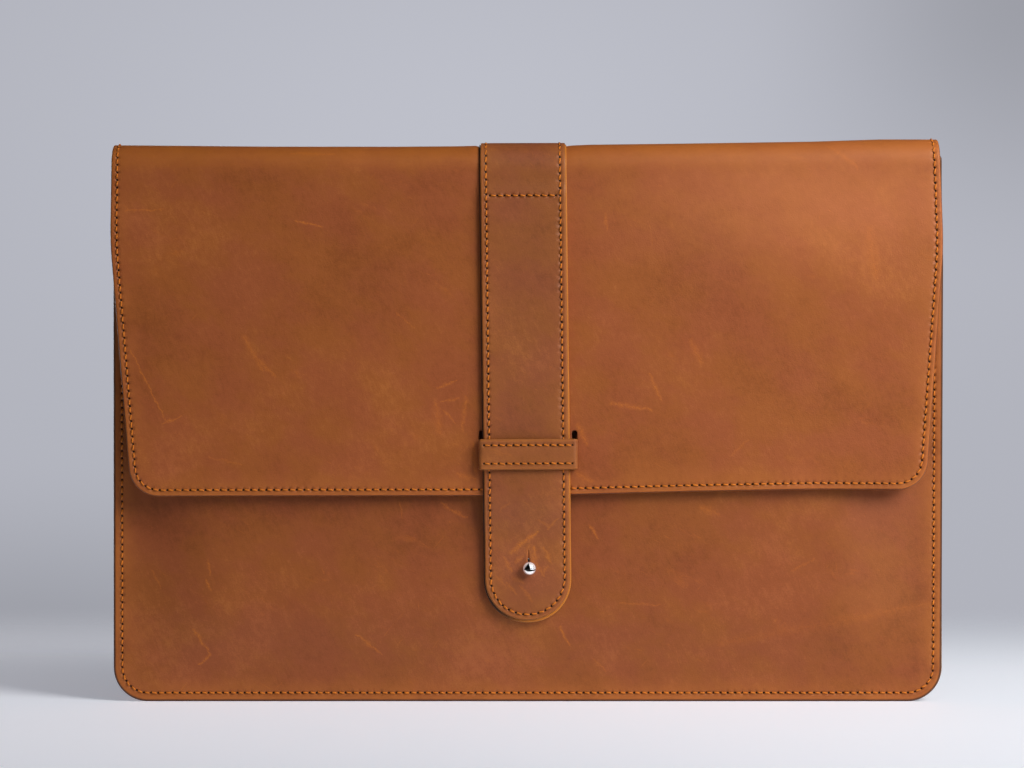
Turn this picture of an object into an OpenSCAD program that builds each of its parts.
// Laptop sleeve in pull-up leather: a flat pocket sewn on three sides, a flap that
// folds over the mouth, and a wide strap that passes under a sliding keeper and
// buttons onto a ball stud. Millimetres. It stands on its bottom edge: +X is the
// width, -Y is the front, +Z is up, and the origin is the middle of the bottom edge
// in the plane where the two halves of the pocket meet.

/* [Body] */
// Width of the pocket across both side seams
body_w = 380; // [366:1:400]
// Height from the bottom edge to the top of the closed fold
body_h = 255.4; // [248:0.2:275]
// Radius of the two bottom corners
corner_r = 15; // [10:0.5:16]
// Thickness of the outer leather
leather_t = 2.0; // [1.6:0.1:2.2]
// Thickness of the suede lining
lining_t = 0.8; // [0.6:0.1:0.9]

/* [Pocket] */
// Clear depth of the pocket, front lining to back lining
pocket_d = 12; // [10:0.5:13]
// Width of the flat sewn margin at the sides
margin_w = 7; // [6.5:0.5:8]
// Width over which each side wall rises from the margin to full depth
shoulder_w = 12; // [11:0.5:14]
// Height of the flat sewn margin along the bottom
bottom_margin = 5.5; // [5.5:0.1:6.5]
// Height over which the bottom wall rises to full depth
bottom_shoulder = 5.5; // [5:0.1:7]
// How far the mouth of the front panel lies below the top of the fold
mouth_drop = 7.9; // [7.5:0.1:12]

/* [Flap] */
// Width of the flap at the fold
flap_w = 379; // [350:1:380]
// Height of the middle of the flap's lower edge
flap_z = 94.8; // [85:0.2:96]
// Rise of the flap's lower edge from the middle to each corner
flap_v = 2.5; // [0:0.1:5]
// How much each side of the flap draws in towards its lower corner
flap_taper = 9.4; // [0:0.2:14]
// Height at which the sides of the flap start to draw in
taper_z = 208; // [180:1:230]
// Radius of the flap's lower corners
flap_corner_r = 13; // [8:0.5:16]
// Space between the front panel and the flap
flap_gap = 2.4; // [2.3:0.1:3]

/* [Strap] */
// Width of the strap
strap_w = 39.5; // [36:0.5:42]
// Thickness of each of the strap's two layers
strap_layer = 1.5; // [1.2:0.1:1.6]
// Thickness of each layer where the strap is pared down to pass over the fold
strap_pared = 0.9; // [0.8:0.1:1.2]
// Height of the strap's rounded end above the bottom edge
strap_end_z = 37; // [33:0.5:42]
// Height of the row of stitches that holds the strap to the flap
anchor_z = 232.2; // [220:0.2:238]
// Length of the strap's tail on the back of the sleeve
strap_back_len = 58; // [40:1:80]

/* [Keeper] */
// Height of the keeper band
keeper_h = 13.9; // [12:0.1:14.2]
// Height of the keeper's lower edge when it rests at the bottom of its slots
keeper_z = 106.6; // [105.5:0.1:108]
// Thickness of the keeper band in front of the strap
keeper_t = 2.0; // [1.6:0.1:2.2]
// Free travel of the keeper up its slots
keeper_play = 3.6; // [2:0.1:4]

/* [Stud] */
// Height of the stud's axis
stud_z = 61.4; // [59:0.1:62]
// Radius of the ball head
ball_r = 3.0; // [2.5:0.1:3.1]
// Radius of the buttonhole, spread as far as the ball spreads it
buttonhole_r = 3.55; // [3.5:0.05:3.8]

/* [Stitching] */
// Distance from a cut edge to the near side of the thread
stitch_in = 2.6; // [2.4:0.1:3]
// Distance from the edge of the pocket to the near side of the seam that closes it
seam_in = 3.6; // [2.6:0.1:4.2]
// Width of the thread
thread_w = 0.6; // [0.5:0.1:0.8]
// How far the thread stands off the leather
thread_t = 0.35; // [0.25:0.05:0.36]

/* [Hidden] */
$fn = 32;
touch_gap = 0.02;   // air between pieces that lie on each other
ply_gap = 0.01;     // air between the two layers of one part
sliver = 0.01;      // thickness of hull end plates, and overlap of joined shapes

// Pocket
sheet_t = leather_t + lining_t;
half_d = pocket_d / 2;
face_y = half_d + sheet_t;              // outer faces of the pocket lie at -face_y and +face_y
mouth_z = body_h - mouth_drop;
foot_corner_r = corner_r - 6;           // bottom corners of the bulge where it leaves the margin
crown_corner_r = corner_r - 4;          // and at its full depth

// Flap and fold
flap_in = -face_y - flap_gap;           // lining side of the flap
flap_out = flap_in - sheet_t;           // leather side of the flap
fold_y = (face_y + flap_out) / 2;       // centre of the fold
fold_ro = (face_y - flap_out) / 2;      // outer radius of the fold
fold_ri = fold_ro - sheet_t;
fold_z = body_h - fold_ro;
mitre = tan(22.5);                      // slope of the joints between the fold's 45 degree strips
strip_gap = 0.45;                       // play at each side of a fold strip
corner_z = fold_z + fold_ro * mitre;    // corners of the closed fold's first and last strips
joint_z = corner_z - strip_gap;         // top of the parts that meet the fold
ear_z = fold_z + 6.2;                   // top of the sewn margins
rear_angle = 45;                        // directions of the strips, from +Y up towards +Z
top_angle = 90;
front_angle = 135;

// Stud and screw
stud_foot_r = 4.2;
stud_foot_t = 1.1;
stud_neck_r = 1.9;
tapped_hole_r = 1.25;
tapped_hole_depth = 4.2;                // in front of the pocket's face
stud_hole_r = 1.5;                      // hole in the front panel
recess_r = 4.7;                         // recess behind it for the screw's head
recess_y = -face_y + 0.95;              // floor of the recess
screw_head_r = 4.5;
screw_head_back = -face_y + leather_t - 0.05;
screw_shank_r = 1.2;
screw_reach = 4.0;                      // in front of the pocket's face
driver_slot_w = 0.8;
driver_slot_depth = 0.4;

// Strap
strap_t = 2 * strap_layer;
strap_in = flap_out - touch_gap;        // back of the strap on the flap
strap_out = strap_in - strap_t;         // front of the strap on the flap
strap_stitch_x = strap_w / 2 - stitch_in - thread_w / 2;     // middle of each side row
strap_inner_w = strap_w - 2 * (stitch_in + thread_w);        // width between the side rows
bend_z = keeper_z - 0.5;                // where the free end of the strap starts
bend_gap = 0.05;                        // gap at each side of that height
bend_thread_gap = 0.3;                  // and for the thread
tip_back = -face_y - stud_foot_t - 0.15;     // back of the strap where it lies over the stud's foot
tip_front = tip_back - strap_t;
tip_corner_r = 18;
tip_bend_top = flap_z - 0.6;            // heights between which the free end slopes inwards
tip_bend_low = stud_z + 9;
ball_y = tip_front - 2.65;

// Keeper
keeper_in = strap_out - 0.48;           // inside face of the keeper's front band
keeper_out = keeper_in - keeper_t;
leg_in = strap_w / 2 + 0.4;             // inner and outer faces of the keeper's legs in X
leg_out = leg_in + 2.1;
keeper_back_in = flap_in + 0.25;        // inside face of the band behind the flap
keeper_back_t = 1.6;
slot_side_gap = 0.25;                   // clearance of the flap's slots around the legs
slot_end_gap = 0.3;

pocket_color = [0.57, 0.31, 0.16];
flap_color = [0.60, 0.33, 0.17];
suede_color = [0.72, 0.50, 0.32];
strap_color = [0.62, 0.34, 0.18];
backing_color = [0.50, 0.28, 0.15];
thread_color = [0.86, 0.46, 0.16];
stud_color = [0.85, 0.86, 0.88];
screw_color = [0.80, 0.81, 0.83];

// ---- helpers -------------------------------------------------------------

function reversed(list) = [for (i = [len(list) - 1 : -1 : 0]) list[i]];

// Extrudes a 2D shape drawn in X and Z between two values of Y.
module slab(front, back) {
    translate([0, back, 0]) rotate([90, 0, 0]) linear_extrude(back - front) children();
}

// Extrudes a 2D shape drawn in Y and Z along X, centred.
module beam(width) {
    translate([-width / 2, 0, 0]) rotate([90, 0, 90]) linear_extrude(width) children();
}

// A cylinder on the stud's axis, between two values of Y.
module stud_rod(r, front, back) {
    translate([0, back, stud_z]) rotate([90, 0, 0]) cylinder(r = r, h = back - front, $fn = 64);
}

// Raises a 2D line of thread from a surface that faces the front.
module thread_on(face) {
    slab(face - touch_gap - thread_t, face - touch_gap) children();
}

// A rectangle centred in X between two heights.
module rect(width, bottom, top) {
    translate([-width / 2, bottom]) square([width, top - bottom]);
}

// A plate with rounded bottom corners and a square top.
module rounded_plate(half_w, bottom, top, r) {
    rect(2 * half_w, bottom + r, top);
    rect(2 * (half_w - r), bottom, bottom + r + sliver);
    for (s = [-1, 1]) translate([s * (half_w - r), bottom + r]) circle(r);
}

// ---- pocket --------------------------------------------------------------

// The front half's bulge at a distance level from the meeting plane. The side and bottom
// walls shift outwards with the level, so that the layers keep their thickness.
module bulge(level, top) {
    shift = level - lining_t;
    half_w = body_w / 2 - margin_w + shift * tan(atan2(half_d, shoulder_w) / 2);
    bottom = bottom_margin - shift * tan(atan2(half_d, bottom_shoulder) / 2);
    foot_y = -level + sliver;
    crown_y = -half_d - level;
    hull() {
        slab(foot_y - sliver / 2, foot_y + sliver / 2)
            rounded_plate(half_w, bottom, top, foot_corner_r);
        slab(crown_y, crown_y + sliver)
            rounded_plate(half_w - shoulder_w, bottom + bottom_shoulder, top, crown_corner_r);
    }
}

// The front half of the pocket between two levels, with its sewn margin.
module half_shell(inner, outer) {
    difference() {
        union() {
            slab(-outer, -inner) rounded_plate(body_w / 2, 0, body_h, corner_r);
            bulge(outer, body_h);
        }
        bulge(inner, body_h + 20);
    }
}

module leather_half() { half_shell(lining_t, sheet_t); }
module lining_half() { half_shell(0, lining_t - ply_gap); }

// What is cut away above the mouth of the front half. It dips between the sewn margins.
module above_mouth() {
    side = body_w / 2 + 5;
    ear_x = body_w / 2 - margin_w - 1;
    mouth_x = body_w / 2 - margin_w - shoulder_w;
    top = body_h + 40;
    slab(-30, 1) polygon([[-side, ear_z], [-ear_x, ear_z], [-mouth_x, mouth_z],
                          [mouth_x, mouth_z], [ear_x, ear_z], [side, ear_z],
                          [side, top], [-side, top]]);
}

// What is cut away above the back half: a slope that mates with the fold,
// and the tops of the margins.
module above_back() {
    side = body_w / 2 + 5;
    low = fold_z - 30;
    wall_in = half_d - 3;        // kept wall profile, from inside the pocket to behind it
    wall_out = face_y + 10;
    margin_top = ear_z - 1.3;
    difference() {
        slab(-1, 30) rect(2 * side, corner_z - 20, body_h + 40);
        beam(2 * side) polygon([[wall_in, low], [wall_out, low],
                                [wall_out, joint_z + (wall_out - face_y) * mitre],
                                [face_y, joint_z],
                                [wall_in, joint_z - (face_y - wall_in) * mitre]]);
        beam(2 * side) polygon([[-2, low], [half_d - 2, low],
                                [half_d - 2, margin_top], [-2, margin_top]]);
    }
}

module front_panel() {
    color(pocket_color) difference() {
        leather_half();
        above_mouth();
        stud_rod(stud_hole_r, -face_y - 5, -half_d);
        stud_rod(recess_r, recess_y, -half_d);
    }
}

module front_lining() {
    color(suede_color) difference() {
        lining_half();
        above_mouth();
    }
}

module back_panel() {
    color(pocket_color) difference() {
        mirror([0, 1, 0]) leather_half();
        above_back();
    }
}

module back_lining() {
    color(suede_color) difference() {
        mirror([0, 1, 0]) lining_half();
        above_back();
    }
}

// The pocket's outline, inset from its cut edge.
module seam_outline(inset, top) {
    rounded_plate(body_w / 2 - inset, inset, top, corner_r - inset);
}

// Both sides of the seam that closes the pocket at the sides and along the bottom.
module seam_thread() {
    color(thread_color) for (m = [0, 1]) mirror([0, m, 0])
        thread_on(-sheet_t) difference() {
            seam_outline(seam_in, ear_z - 3);
            seam_outline(seam_in + thread_w, ear_z + 5);
        }
}

module mouth_thread() {
    top = mouth_z - stitch_in;
    color(thread_color) thread_on(-face_y)
        rect(body_w - 2 * (margin_w + shoulder_w + 4), top - thread_w, top);
}

// The tail of the strap, sewn to the back of the pocket.
module strap_back() {
    back = face_y + touch_gap;
    color(strap_color) for (i = [0, 1])
        slab(back + i * strap_layer, back + (i + 1) * strap_layer - (1 - i) * ply_gap)
            rect(strap_w, joint_z - strap_back_len, joint_z);
}

// Side rows, a row across the tail's lower end and one just below anchor_z.
module strap_back_thread() {
    low = joint_z - strap_back_len + stitch_in;
    face = face_y + strap_t + 2 * touch_gap;
    color(thread_color) slab(face, face + thread_t) difference() {
        rect(strap_w - 2 * stitch_in, low, joint_z);
        rect(strap_inner_w, low + thread_w, anchor_z - thread_w);
        rect(strap_inner_w, anchor_z, joint_z + 1);
    }
}

// ---- stud ----------------------------------------------------------------

// The ball stud: foot, neck and ball turned in one piece, tapped from behind.
module stud() {
    color(stud_color) difference() {
        union() {
            stud_rod(stud_foot_r, -face_y - stud_foot_t, -face_y - touch_gap);
            stud_rod(stud_neck_r, ball_y, -face_y - 0.5);
            translate([0, ball_y, stud_z]) sphere(r = ball_r, $fn = 64);
        }
        stud_rod(tapped_hole_r, -face_y - tapped_hole_depth, -face_y + 1);
    }
}

// The slotted screw that clamps the stud from inside, under the lining.
module stud_screw() {
    color(screw_color) difference() {
        union() {
            stud_rod(screw_head_r, recess_y + 0.1, screw_head_back);
            stud_rod(screw_shank_r, -face_y - screw_reach, recess_y + 0.15);
        }
        translate([-5, screw_head_back - driver_slot_depth, stud_z - driver_slot_w / 2])
            cube([10, 1, driver_slot_w]);
    }
}

// ---- fold ----------------------------------------------------------------

// One of the three flat strips that the fold is made of, between two radii.
module fold_strip(angle, inner, outer, width) {
    half_in = min(inner, fold_ro) * mitre - strip_gap;
    half_out = min(outer, fold_ro) * mitre - strip_gap;
    translate([0, fold_y, fold_z]) rotate([angle - 90, 0, 0])
        beam(width) polygon([[-half_in, inner], [half_in, inner],
                             [half_out, outer], [-half_out, outer]]);
}

module fold_leather(angle) {
    color(flap_color) fold_strip(angle, fold_ri + lining_t, fold_ro, flap_w);
}

module fold_lining(angle) {
    color(suede_color) fold_strip(angle, fold_ri, fold_ri + lining_t, flap_w);
}

module fold_strap(angle) {
    inner = fold_ro + touch_gap;
    color(strap_color) for (i = [0, 1])
        fold_strip(angle, inner + i * strap_pared,
                   inner + (i + 1) * strap_pared - (1 - i) * ply_gap, strap_w);
}

// A row of thread at x and at -x.
module fold_rows(angle, x, inner) {
    for (s = [-1, 1]) translate([s * x, 0, 0])
        fold_strip(angle, inner, inner + thread_t, thread_w);
}

// Rows along the edges of the flap and along the edges of the strap.
module fold_thread(angle) {
    color(thread_color) {
        fold_rows(angle, flap_w / 2 - stitch_in - thread_w / 2, fold_ro + touch_gap);
        fold_rows(angle, strap_stitch_x, fold_ro + 2 * strap_pared + 2 * touch_gap);
    }
}

// ---- flap ----------------------------------------------------------------

// Half of the flap's outline, inset from its cut edge, from the fold down to the end of
// the corner's arc. side is 1 for +X and -1 for -X.
function flap_side(inset, side, top) =
    let(half_w = flap_w / 2,
        low_half_w = half_w - flap_taper,
        arc_x = low_half_w - flap_corner_r,
        arc_z = flap_z + flap_v + flap_corner_r,
        arc_r = flap_corner_r - inset)
    concat([[side * (half_w - inset), top],
            [side * (half_w - inset), taper_z],
            [side * (low_half_w - inset), arc_z]],
           [for (i = [1 : 9]) [side * (arc_x + arc_r * cos(10 * i)), arc_z - arc_r * sin(10 * i)]]);

module flap_outline(inset, top) {
    polygon(concat(flap_side(inset, 1, top), [[0, flap_z + inset]],
                   reversed(flap_side(inset, -1, top))));
}

// The flap in Y and Z, with the slope at its top that mates with the fold.
module flap_profile(front, back) {
    low = flap_z - 5;
    polygon([[front, low], [back, low],
             [back, joint_z - (back - flap_out) * mitre],
             [front, joint_z - (front - flap_out) * mitre]]);
}

// The slots that the keeper runs in.
module keeper_slots() {
    for (s = [-1, 1]) slab(flap_out - 2, flap_in + 2)
        translate([s * (leg_in + leg_out) / 2, 0])
            rect(leg_out - leg_in + 2 * slot_side_gap, keeper_z - slot_end_gap,
                 keeper_z + keeper_h + keeper_play + slot_end_gap);
}

module flap_layer(front, back) {
    difference() {
        intersection() {
            slab(front, back) flap_outline(0, body_h);
            beam(flap_w + 10) flap_profile(front - 1, back + 1);
        }
        keeper_slots();
    }
}

module flap_panel() { color(flap_color) flap_layer(flap_out, flap_out + leather_t); }
module flap_lining() { color(suede_color) flap_layer(flap_out + leather_t + ply_gap, flap_in); }

module flap_ring(top) {
    difference() {
        flap_outline(stitch_in, top);
        flap_outline(stitch_in + thread_w, top + 5);
    }
}

// The row around the flap on both faces. On the front it breaks off under the strap.
module flap_thread() {
    break_w = strap_w + 0.6;
    color(thread_color) {
        difference() {
            thread_on(flap_out) flap_ring(joint_z);
            translate([-break_w / 2, flap_out - 1, flap_z - 5]) cube([break_w, 2, 20]);
        }
        slab(flap_in + touch_gap, flap_in + touch_gap + thread_t) flap_ring(corner_z - 2.5);
    }
}

// ---- strap ---------------------------------------------------------------

module strap_layer_on_flap(front, back) {
    slab(front, back) rect(strap_w, bend_z + bend_gap, joint_z);
}

module strap_front() {
    color(strap_color) strap_layer_on_flap(strap_out, strap_out + strap_layer - ply_gap);
}

module strap_front_backing() {
    color(backing_color) strap_layer_on_flap(strap_out + strap_layer, strap_in);
}

module strap_thread() {
    color(thread_color) for (s = [-1, 1])
        thread_on(strap_out) translate([s * strap_stitch_x, 0])
            rect(thread_w, bend_z + bend_thread_gap, joint_z);
}

module strap_anchor_thread() {
    color(thread_color) thread_on(strap_out)
        rect(strap_inner_w - 0.2, anchor_z - thread_w / 2, anchor_z + thread_w / 2);
}

// The rounded free end of the strap in X and Z, inset from its edge.
module tip_outline(inset) {
    rounded_plate(strap_w / 2 - inset, strap_end_z + inset, bend_z - bend_gap,
                  tip_corner_r - inset, $fn = 64);
}

// The side line of the free end in Y and Z, a distance depth in front of its back face:
// flat on the flap, in over the flap's lower edge, then flat over the stud's foot.
function tip_line(depth) =
    let(drop = depth * tan(atan2(tip_back - strap_in, tip_bend_top - tip_bend_low) / 2))
    [[strap_in - depth, bend_z + 1],
     [strap_in - depth, tip_bend_top - drop],
     [tip_back - depth, tip_bend_low - drop],
     [tip_back - depth, strap_end_z - 1]];

// The free end between two depths, as a bar wider than the strap.
module tip_bar(inner, outer) {
    beam(strap_w + 4) polygon(concat(tip_line(inner), reversed(tip_line(outer))));
}

module tip_layer(inner, outer) {
    difference() {
        intersection() {
            slab(flap_out - 10, -face_y) tip_outline(0);
            tip_bar(inner, outer);
        }
        stud_rod(buttonhole_r, flap_out - 12, -face_y + 2);
    }
}

module strap_tip() { color(strap_color) tip_layer(strap_layer + ply_gap, strap_t); }
module strap_tip_backing() { color(backing_color) tip_layer(0, strap_layer); }

module strap_tip_thread() {
    color(thread_color) intersection() {
        slab(flap_out - 10, -face_y) difference() {
            tip_outline(stitch_in);
            tip_outline(stitch_in + thread_w);
            // Open the ring at its top, and trim the side rows short of the bend.
            rect(strap_inner_w, bend_z - 4, bend_z + 6);
            rect(strap_w, bend_z - bend_thread_gap, bend_z + 5 - bend_thread_gap);
        }
        tip_bar(strap_t + touch_gap, strap_t + touch_gap + thread_t);
    }
}

// ---- keeper --------------------------------------------------------------

// A closed band that passes in front of the strap, through both slots and behind the flap.
module keeper_band() {
    color(strap_color) translate([0, 0, keeper_z]) linear_extrude(keeper_h) difference() {
        rect(2 * leg_out, keeper_out, keeper_back_in + keeper_back_t);
        rect(2 * leg_in, keeper_in, keeper_back_in);
    }
}

module keeper_thread() {
    color(thread_color) for (z = [stitch_in, keeper_h - stitch_in - thread_w])
        thread_on(keeper_out) rect(2 * leg_out - 1.2, keeper_z + z, keeper_z + z + thread_w);
}

front_panel();
front_lining();
back_panel();
back_lining();
seam_thread();
mouth_thread();
strap_back();
strap_back_thread();
stud();
stud_screw();
fold_leather(rear_angle);  // fold_rear_leather
fold_lining(rear_angle);  // fold_rear_lining
fold_strap(rear_angle);  // fold_rear_strap
fold_thread(rear_angle);  // fold_rear_thread
fold_leather(top_angle);  // fold_top_leather
fold_lining(top_angle);  // fold_top_lining
fold_strap(top_angle);  // fold_top_strap
fold_thread(top_angle);  // fold_top_thread
fold_leather(front_angle);  // fold_front_leather
fold_lining(front_angle);  // fold_front_lining
fold_strap(front_angle);  // fold_front_strap
fold_thread(front_angle);  // fold_front_thread
flap_panel();
flap_lining();
flap_thread();
strap_front();
strap_front_backing();
strap_thread();
strap_anchor_thread();
strap_tip();
strap_tip_backing();
strap_tip_thread();
keeper_band();
keeper_thread();
